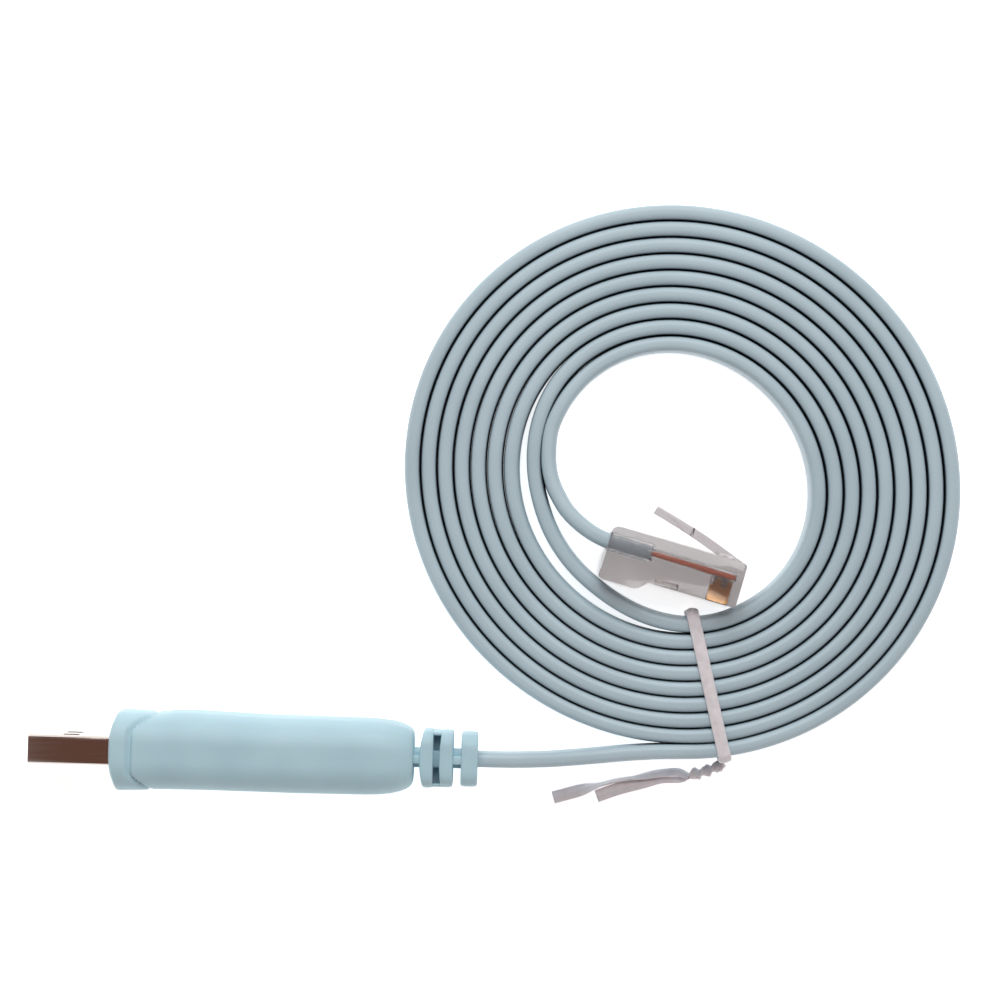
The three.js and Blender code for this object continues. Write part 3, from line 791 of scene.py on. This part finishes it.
def relief_tools():
    """The core, ribs, fins and side webs, all with round edges, and the slot's two plain floors."""
    tools = [box_object(
        (BODY_LENGTH - 3, -CORE_HALF[0], -CORE_HALF[1]),
        (RELIEF_START + CORE_LENGTH, CORE_HALF[0], CORE_HALF[1]), 0.45)]
    first = RELIEF_START + RIB_GAP
    second = first + RIB + RIB_GAP
    third = second + RIB + RIB_GAP
    for start, length, half_y, half_z, bulge in (
            (first + 0.3, RIB - 0.3, 4.45, 6.2, 0.6), (second, RIB, 4.3, 6.15, 0.3),
            (third, END_RIB, 4.12, 6.1, 0.0)):
        bm = bmesh.new()
        rows = []
        for index in range(9):
            angle = math.pi * index / 8
            inset = RIB_ROUND * (1 - math.sin(angle) ** 0.5)
            share = (1 - math.cos(angle)) / 2
            rows.append([
                (start + length * share - bulge * (1 - (y / half_y) ** 2) * (1 - share), y, z)
                for y, z in ring(half_y - inset, half_z - inset, RIB_CORNER - inset, 64)])
        loft(bm, rows)
        tools.append(as_object("rib", bm))
    for start in (BODY_LENGTH - 1, second + RIB - 0.4):
        tools.append(box_object(
            (start, -FIN_HALF[0], -FIN_HALF[1]),
            (start + RIB_GAP + (1.9 if start < first else 0.8), FIN_HALF[0], FIN_HALF[1]), 0.25))
    inner, outer, high = SIDE_WEB_HALF
    near, far, rise = SLOT_FLOOR
    for sign in (-1, 1):
        low_y, high_y = sorted((sign * inner, sign * outer))
        tools.append(box_object(
            (first + RIB - 0.5, low_y, -high), (second + 0.5, high_y, high), 0.2))
    for sign in (-1, 1):
        low_y, high_y = sorted((sign * near, sign * far))
        tools.append(box_object(
            (first + RIB - 0.55, low_y, -rise), (second + 0.55, high_y, rise)))
    return tools


usb_moulding = placed(
    "usb_moulding", combine(housing_body(), relief_tools(), solver="MANIFOLD"), USB, HOUSING_FINISH,
    sharp=38)
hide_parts("usb_housing")
print("moulding faces:", len(usb_moulding.data.polygons))

# %% [markdown]
# The plug's sleeve is nickel-plated steel, 0.3 mm thick, folded round into a tube 4.5 mm by 12 mm.
# Two square windows in each broad side catch the springs of the socket. Nickel over cold-rolled
# steel is bright but not a mirror: the strip's rolling lines run along the plug and stretch the
# reflections across it. It reflects the dark ceiling, so from above it looks brown.

# %% Material: nickel-plated steel
ROLLING_LINE = 0.16 * MM


def plated_steel():
    made, tree = material("nickel plate on rolled steel")
    place = node(tree, "ShaderNodeTexCoord")
    stretch = node(
        tree, "ShaderNodeVectorMath", {"operation": "MULTIPLY"}, _0=place.outputs["Object"],
        _1=(1 / (12 * MM), 1 / ROLLING_LINE, 1 / ROLLING_LINE))
    lines = node(
        tree, "ShaderNodeTexNoise", Vector=stretch.outputs["Vector"], Scale=1.0, Detail=2.0)
    spread = node(
        tree, "ShaderNodeMapRange", Value=lines.outputs["Fac"], From_Min=0.3, From_Max=0.7,
        To_Min=0.14, To_Max=0.22)
    bump = node(
        tree, "ShaderNodeBump", Height=lines.outputs["Fac"], Strength=0.1, Distance=0.01 * MM)
    surface(
        tree, Base_Color=linear(0xC9C3BE), Metallic=1.0, Roughness=spread.outputs["Result"],
        Normal=bump.outputs["Normal"])
    return made


STEEL = plated_steel()
print("steel material nodes:", len(STEEL.node_tree.nodes))

# %% USB sleeve
SLEEVE_HALF = (2.25, 6.0)
SLEEVE_WALL = 0.3
SLEEVE_CORNER = 0.48
SLEEVE_OUT = 12.2
SLEEVE_IN = 6.0
WINDOW = 2.5
WINDOW_SPACING = 5.6
WINDOW_FROM_MOUTH = 5.2


def sleeve_rings():
    """From the hidden end along the outside to the mouth, and back along the inside."""
    places = [(SLEEVE_IN, 0.0), (-SLEEVE_OUT + 0.12, 0.0), (-SLEEVE_OUT + 0.03, 0.04),
              (-SLEEVE_OUT, 0.12), (-SLEEVE_OUT, SLEEVE_WALL - 0.08),
              (-SLEEVE_OUT + 0.1, SLEEVE_WALL), (SLEEVE_IN, SLEEVE_WALL)]
    return [
        [(x, y, z) for y, z in ring(
            SLEEVE_HALF[0] - inset, SLEEVE_HALF[1] - inset, SLEEVE_CORNER - inset)]
        for x, inset in places]


def usb_sleeve():
    bm = bmesh.new()
    loft(bm, sleeve_rings(), capped=False)
    start = -SLEEVE_OUT + WINDOW_FROM_MOUTH
    cuts = [box_object(
        (start, -4, side * WINDOW_SPACING / 2 - WINDOW / 2),
        (start + WINDOW, 4, side * WINDOW_SPACING / 2 + WINDOW / 2), 0.25) for side in (-1, 1)]
    seam = box_object((-SLEEVE_OUT - 1, -2.4, -0.05), (0.5, -2.17, 0.05))
    return combine(as_object("sleeve", bm), cut=[*cuts, seam])


sleeve = placed("plug_sleeve", usb_sleeve(), USB, STEEL, sharp=35)
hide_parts("usb_shell")
print("sleeve faces:", len(sleeve.data.polygons))

# %% [markdown]
# Inside the sleeve a glass-filled nylon tongue carries four contacts of gold-plated copper alloy.
# They are small, flat pressings and a plain moulding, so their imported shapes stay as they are, and
# only their finishes are made here. Glass-filled nylon is slightly cloudy and matt. A gold flash is
# a metal, so its colour is the colour of its reflections.

# %% Materials: nylon tongue and gold contacts


def filled_nylon():
    made, tree = material("glass-filled nylon, moulded, off-white")
    tint = mottle(tree, 0.3 * MM, ((0.0, 0xE9E8E2), (1.0, 0xF6F5F0)))[2]
    surface(
        tree, Base_Color=tint, Roughness=0.55, IOR=1.53,
        Subsurface_Weight=0.1, Subsurface_Scale=0.3 * MM)
    return made


def gold_plate():
    made, tree = material("gold flash on stamped copper alloy")
    _, rubbed, tint = mottle(tree, 0.6 * MM, ((0.0, 0xC08A52), (1.0, 0xD3AA6C)))
    spread = node(tree, "ShaderNodeMapRange", Value=rubbed, To_Min=0.22, To_Max=0.4)
    surface(tree, Base_Color=tint, Metallic=1.0, Roughness=spread.outputs["Result"])
    return made


def dress(node_name, finish):
    """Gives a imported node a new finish."""
    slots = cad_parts[node_name].data.materials
    slots.clear()
    slots.append(finish)


NYLON = filled_nylon()
GOLD = gold_plate()
dress("usb_tongue", NYLON)
for number in range(1, 5):
    dress(f"usb_contact_{number}", GOLD)
print("gold material nodes:", len(GOLD.node_tree.nodes))

# %% [markdown]
# The modular plug is one moulding of clear polycarbonate, an index of refraction of 1.58, with the
# latch in the same piece. Seen through its narrow side it isn't colourless: the walls, ribs and
# slots inside bend the light about, and the whole looks a smoky grey. The shader lets nearly all
# light through, because it is tinted at each of the many walls. The latch has only two walls, so
# its tint is darker, as painted shade that makes it grey: the material measures how far a point
# lies above the plug's top face. A fine waviness stands for the flow marks of the mould.

# %% Material: clear polycarbonate
FLOW = 1.6 * MM


def clear_polycarbonate():
    made, tree = material("clear polycarbonate, moulded")
    place = node(tree, "ShaderNodeTexCoord")
    from_plug = node(
        tree, "ShaderNodeVectorMath", {"operation": "SUBTRACT"}, _0=place.outputs["Object"],
        _1=PLUG.translation)
    above = node(
        tree, "ShaderNodeVectorMath", {"operation": "DOT_PRODUCT"}, _0=from_plug.outputs["Vector"],
        _1=PLUG.col[1].xyz)
    # Painted shade: the latch, above the plug's top face, gets a darker tint.
    latch_painted_shade = node(
        tree, "ShaderNodeMapRange", Value=above.outputs["Value"], From_Min=0.0, From_Max=0.6 * MM)
    tint = node(
        tree, "ShaderNodeMix", {"data_type": "RGBA"}, _0=latch_painted_shade.outputs["Result"],
        _6=linear(0xF3F0F1), _7=linear(0xB2AEB0))
    flow = node(
        tree, "ShaderNodeTexNoise", Vector=place.outputs["Object"], Scale=1 / FLOW, Detail=1.0)
    bump = node(
        tree, "ShaderNodeBump", Height=flow.outputs["Fac"], Strength=0.3, Distance=0.05 * MM)
    surface(
        tree, Base_Color=tint.outputs[2], Normal=bump.outputs["Normal"], Roughness=0.06, IOR=1.58,
        Transmission_Weight=0.96)
    return made


CLEAR = clear_polycarbonate()
print("clear material nodes:", len(CLEAR.node_tree.nodes))

# %% [markdown]
# Its shape is drawn as the side view that the photograph shows: a taller rear half that grips the
# jacket, a step down, and a lower front half with the eight slots for the contacts. The latch is
# a tongue that rises from the nose and springs back over the top, narrower at its free end.
# Hollows are cut for the cable, the wires and the contacts, and then every edge is rounded a little,
# because a moulded edge is never sharp, and the rounding is what catches the light.

# %% Clear plug
PLUG_LENGTH = 21.9
PLUG_WIDTH = 11.68
FRONT_HEIGHT = 7.2
REAR_HEIGHT = 8.7
REAR_LENGTH = 6.2
STEP_LENGTH = 1.2
NOSE = 0.6
CABLE_DROP = 2.75
JACKET_DEPTH = 7.3
FRONT_WALL = 1.1
PIN_PITCH = 1.02
WIRE_DIAMETER = 0.92
BLADE = 0.35
BLADE_LENGTH = 3.4
BLADE_FROM_NOSE = 1.5
BLADE_RECESS = 0.25
EDGE_ROUND = 0.1
LATCH_REACH = 15.7
LATCH_RISE = 4.9
LATCH_THICK = 1.6
LATCH_WIDTH = 6.1
LATCH_TAB_WIDTH = 3.3


def arc_points(middle_x, middle_y, radius, start, end, count=5):
    angles = [math.radians(start + (end - start) * index / count) for index in range(count + 1)]
    return [(middle_x + radius * math.cos(a), middle_y + radius * math.sin(a)) for a in angles]


def plug_outline():
    """The plug's body in side view, from its rear top corner round to its rear foot."""
    nose = PLUG_LENGTH - NOSE
    return [
        *arc_points(1.3, -1.3, 1.3, 180, 90),
        *arc_points(nose, -NOSE, NOSE, 90, 0),
        *arc_points(nose, -FRONT_HEIGHT + NOSE, NOSE, 0, -90),
        (REAR_LENGTH + STEP_LENGTH + 0.3, -FRONT_HEIGHT), (REAR_LENGTH + 0.2, -REAR_HEIGHT + 0.2),
        *arc_points(REAR_LENGTH - 0.5, -REAR_HEIGHT + 0.5, 0.5, 0, -90, 3),
        *arc_points(0.8, -REAR_HEIGHT + 0.8, 0.8, 270, 180, 4),
    ]


def latch_outline(start, end):
    """A slice of the latch in side view, between two shares of its reach from the nose."""
    root = PLUG_LENGTH - NOSE
    count = 8
    shares = [start + (end - start) * index / count for index in range(count + 1)]
    bend = [0.35 * math.sin(math.pi * share) for share in shares]
    top = [(root - s * LATCH_REACH, s * LATCH_RISE + b) for s, b in zip(shares, bend)]
    under = [(x, y - LATCH_THICK * (1 - 0.1 * s)) for (x, y), s in zip(top, shares)]
    if end == 1:
        top[-1] = (top[-1][0] + 0.4, top[-1][1] - 0.06)
    return [*top, *reversed(under)]


def pin_place(index):
    """How far the middle of a contact lies from the middle of the plug's width."""
    return (index - 3.5) * PIN_PITCH


def clear_plug():
    joined = [
        outline_object([
            (PLUG_LENGTH - 5.2, -1.2), (PLUG_LENGTH - NOSE, -1.2), (PLUG_LENGTH - NOSE, 0.0),
            (PLUG_LENGTH - NOSE - 0.4, 0.18), (PLUG_LENGTH - 3.2, 0.85), (PLUG_LENGTH - 4.6, 1.3),
            (PLUG_LENGTH - 4.3, 0.1), (PLUG_LENGTH - 5.2, -0.1)], LATCH_WIDTH),
        outline_object(latch_outline(0.03, 0.56), LATCH_WIDTH),
        outline_object(latch_outline(0.53, 1), LATCH_TAB_WIDTH),
    ]
    jacket_half = CABLE_THICKNESS / 2 + 0.15
    wire_half = WIRE_DIAMETER / 2 + 0.08
    cuts = [
        box_object(
            (-1, -CABLE_DROP - jacket_half, -CABLE_WIDTH / 2 - 0.2),
            (JACKET_DEPTH + 0.2, -CABLE_DROP + jacket_half, CABLE_WIDTH / 2 + 0.2), 0.5),
        box_object(
            (JACKET_DEPTH - 1, -CABLE_DROP - wire_half, -4.15),
            (PLUG_LENGTH - FRONT_WALL, -CABLE_DROP + wire_half, 4.15)),
        box_object((8.6, -REAR_HEIGHT - 1, -3.4), (12.4, -FRONT_HEIGHT + 1.1, 3.4)),
    ]
    blade_end = PLUG_LENGTH - BLADE_FROM_NOSE
    for index in range(8):
        z = pin_place(index)
        cuts.append(box_object(
            (blade_end - BLADE_LENGTH - 0.1, -FRONT_HEIGHT - 1, z - BLADE / 2 - 0.08),
            (blade_end + 0.1, -CABLE_DROP - wire_half + 0.02, z + BLADE / 2 + 0.08)))
    return combine(
        outline_object(plug_outline(), PLUG_WIDTH), joined, cuts, edge_round=EDGE_ROUND, edge_angle=50)


plug_body = placed("clear_plug", clear_plug(), PLUG, CLEAR, sharp=35)
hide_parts("rj45_body")
print("clear plug faces:", len(plug_body.data.polygons))

# %% [markdown]
# The eight wires leave the jacket side by side, spread a little to reach their slots, and run on to
# the nose. Each is a round insulated wire in its own colour. The wires are drawn PVC, glossier than
# the jacket, and each gets its own tube with a slight bend, because pushed-in wires are never quite
# straight. The contacts are gold-plated blades with two points that bite into the wires.

# %% Materials and shapes of the wires and contacts
WIRE_COLOURS = {
    1: ("grey", 0xB4B8BA), 2: ("orange", 0xD98A3A), 3: ("black", 0x26282B), 4: ("red", 0xB5322C),
    5: ("green", 0x3F7D4A), 6: ("yellow", 0xD9C04A), 7: ("blue", 0x3D62A8), 8: ("brown", 0xD26A48),
}


JACKET_PITCH = 0.84
SWAY = 0.05


def wire_insulation(colour, hex_value):
    made, tree = material(f"drawn PVC wire insulation, {colour}")
    place = node(tree, "ShaderNodeTexCoord")
    uneven = node(
        tree, "ShaderNodeTexNoise", Vector=place.outputs["Object"], Scale=1 / (2 * MM), Detail=1.0)
    spread = node(
        tree, "ShaderNodeMapRange", Value=uneven.outputs["Fac"], To_Min=0.88, To_Max=1.12)
    tint = node(
        tree, "ShaderNodeHueSaturation", Value=spread.outputs["Result"], Color=linear(hex_value))
    surface(tree, Base_Color=tint.outputs["Color"], Roughness=0.35, IOR=1.53)
    return made


def wire_points(index):
    """A wire from the jacket's end to the nose, in the plug's own frame, in metres."""
    wanted = pin_place(index)
    tight = (index - 3.5) * JACKET_PITCH
    start, end = JACKET_DEPTH - 0.4, PLUG_LENGTH - FRONT_WALL - 0.15
    count = 16
    points = []
    for step in range(count + 1):
        share = step / count
        x = start + (end - start) * share
        z = tight + (wanted - tight) * smooth_step(share, 0.0, 0.3)
        sway = SWAY * math.sin(5 * share + index) * (1 - share)
        points.append(PLUG @ (Vector((x, -CABLE_DROP + sway, z)) * MM))
    return points


ROUND_SECTION = [
    (WIRE_DIAMETER / 2 * math.cos(math.tau * i / 20), WIRE_DIAMETER / 2 * math.sin(math.tau * i / 20))
    for i in range(20)]


def contact_blade(index):
    """A blade with two points towards the wires, and the shift to its slot."""
    end = PLUG_LENGTH - BLADE_FROM_NOSE
    start = end - BLADE_LENGTH
    foot = -FRONT_HEIGHT + BLADE_RECESS
    top, tip, tine = foot + 2.3, -CABLE_DROP - 0.56, 0.8
    outline = [
        (start + 0.2, foot), (end - 0.2, foot), (end, foot + 0.2), (end, tip - 0.5),
        (end - tine / 2, tip), (end - tine, tip - 0.5), (end - tine, top),
        (start + 2 * tine, top), (start + 2 * tine, tip - 0.5), (start + 1.5 * tine, tip),
        (start + tine, tip - 0.5), (start + tine, top), (start, top), (start, foot + 0.2),
    ]
    mesh = combine(outline_object(outline, BLADE), edge_round=0.04, edge_angle=30, edge_segments=1)
    return mesh, Matrix.Translation((0, 0, pin_place(index) * MM))


wires_and_blades = []
for number, (colour, hex_value) in WIRE_COLOURS.items():
    name = f"wire_{colour}"
    mesh = tube_mesh(name, wire_points(number - 1), ROUND_SECTION)
    wire = add_object(name, mesh, wire_insulation(colour, hex_value))
    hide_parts(f"conductor_{number}")
    mesh, shift = contact_blade(number - 1)
    blade = placed(f"contact_blade_{number}", mesh, PLUG @ shift, GOLD, sharp=30)
    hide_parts(f"rj45_contact_{number}")
    wires_and_blades += [wire, blade]
print("wires and blades:", len(wires_and_blades))

# %% [markdown]
# The twist tie is a soft iron wire in a pale plastic ribbon, 2 mm wide. It loops once round the
# turns, and outside the coil its two ends are twisted together and then part again as two cut
# tails. It is three swept ribbons: the loop, and the two ends, which circle each other on a helix
# along the twisted stretch. The ribbon's section is thicker in the middle, over the wire.

# %% Material: twist tie


def tie_plastic():
    made, tree = material("polyethylene ribbon over wire, pale grey")
    _, crinkle, tint = mottle(tree, 1.3 * MM, ((0.3, 0xDCD8DC), (0.7, 0xE8E4E8)))
    bump = node(tree, "ShaderNodeBump", Height=crinkle, Strength=0.25, Distance=0.08 * MM)
    surface(
        tree, Base_Color=tint, Normal=bump.outputs["Normal"], Roughness=0.5, IOR=1.51,
        Subsurface_Weight=0.1, Subsurface_Scale=0.3 * MM)
    return made


TIE_FINISH = tie_plastic()
print("tie material nodes:", len(TIE_FINISH.node_tree.nodes))

# %% Twist tie
TIE_WIDTH = 2.0
TIE_THICKNESS = 0.36
WIRE_BULGE = 0.34
TIE_INNER = 19.9
TIE_OUTER = 44.25
TIE_TOP = 7.75
TWIST_TURNS = 1.6
PAIR_RADIUS = 0.26
TWIST = [(6.6, -44.7, 2.3), (4.54, -45.48, 2.0), (2.54, -46.13, 1.8), (1.43, -46.53, 1.7)]
LONG_TAIL = [
    (-0.32, -45.9, 1.8), (-3.2, -46.05, 1.5), (-7, -46.75, 1.2), (-10.35, -47.3, 1.0),
    (-14.3, -48.35, 0.8), (-16.4, -48.95, 0.6), (-20.3, -50.0, 0.5),
]
SHORT_TAIL = [
    (-0.1, -46.95, 1.3), (-3, -47.05, 1.2), (-5, -47.4, 1.0), (-7.5, -47.95, 0.8),
    (-10.2, -48.7, 0.6), (-13.4, -49.8, 0.5),
]


def ribbon_section():
    """A flat ribbon with a swelling over its wire; its width is level."""
    half = TIE_WIDTH / 2
    upper = []
    for index in range(13):
        x = half * math.cos(math.pi * index / 12)
        edge = TIE_THICKNESS / 2 * (1 - (abs(x) / half) ** 6)
        upper.append((x, edge + WIRE_BULGE / 2 * math.exp(-(x / 0.32) ** 2)))
    return upper + [(x, -y) for x, y in reversed(upper[1:-1])]


def loop_points():
    """The loop round the turns, from below outside the coil, inwards, over the top and down."""
    corner = 1.3
    outline = []
    for middle, height, start in (
            (TIE_OUTER - corner, corner + 0.25, 0), (TIE_INNER + corner, corner + 0.25, -90),
            (TIE_INNER + corner, TIE_TOP - corner, -180), (TIE_OUTER - corner, TIE_TOP - corner, -270)):
        for index in range(9):
            angle = math.radians(start - 90 * index / 8)
            outline.append((middle + corner * math.cos(angle), height + corner * math.sin(angle)))
    outline.append((TIE_OUTER, corner + 0.25))
    cos, sin = math.cos(TIE_TURN), math.sin(TIE_TURN)
    return [from_coil(r * cos - TIE_OFFSET * sin, r * sin + TIE_OFFSET * cos, z)
            for r, z in outline]


def long_roll(share):
    """How far the long end has turned: wound up, then on edge in its middle, then flat."""
    wound = math.pi / 2 + math.tau * TWIST_TURNS * min(share / 0.225, 1.0)
    return wound - 0.6 * smooth_step(share, 0.4, 0.62) + 1.55 * smooth_step(share, 0.68, 0.92)


def short_roll(share):
    """How far the short end has turned: wound up, and then slowly back to flat."""
    wound = math.pi / 2 + math.tau * TWIST_TURNS * min(share / 0.31, 1.0)
    return wound + 0.95 * smooth_step(share, 0.45, 0.8)


def twisted_end(side, tail):
    """One end: half of the twisted pair, and then its tail."""
    middle = smooth_route(TWIST, 0.35)
    points = []
    for index, point in enumerate(middle):
        share = index / (len(middle) - 1)
        ahead = (middle[min(index + 1, len(middle) - 1)] - middle[max(index - 1, 0)]).normalized()
        level = ahead.cross(Vector((0, 0, 1))).normalized()
        upright = level.cross(ahead)
        angle = math.tau * TWIST_TURNS * share + (0 if side > 0 else math.pi)
        points.append(point + (level * math.cos(angle) + upright * math.sin(angle)) * PAIR_RADIUS)
    return smooth_route([*points, *tail], 0.4)


tangent = Vector((-math.sin(TIE_TURN), math.cos(TIE_TURN), 0))
tie_parts = [tube_mesh("tie_loop", loop_points(), ribbon_section(), side=tangent)]
for side, tail, roll in ((1, LONG_TAIL, long_roll), (-1, SHORT_TAIL, short_roll)):
    points = [COIL + point * MM for point in twisted_end(side, tail)]
    tie_parts.append(tube_mesh("tie_end", points, ribbon_section(), roll=roll))

bm = bmesh.new()
for part in tie_parts:
    bm.from_mesh(part)
tie_mesh = bpy.data.meshes.new("tie")
bm.to_mesh(tie_mesh)
bm.free()
tie = add_object("wire_tie", tie_mesh, TIE_FINISH)
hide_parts("twist_tie")
print("tie faces:", len(tie.data.polygons))
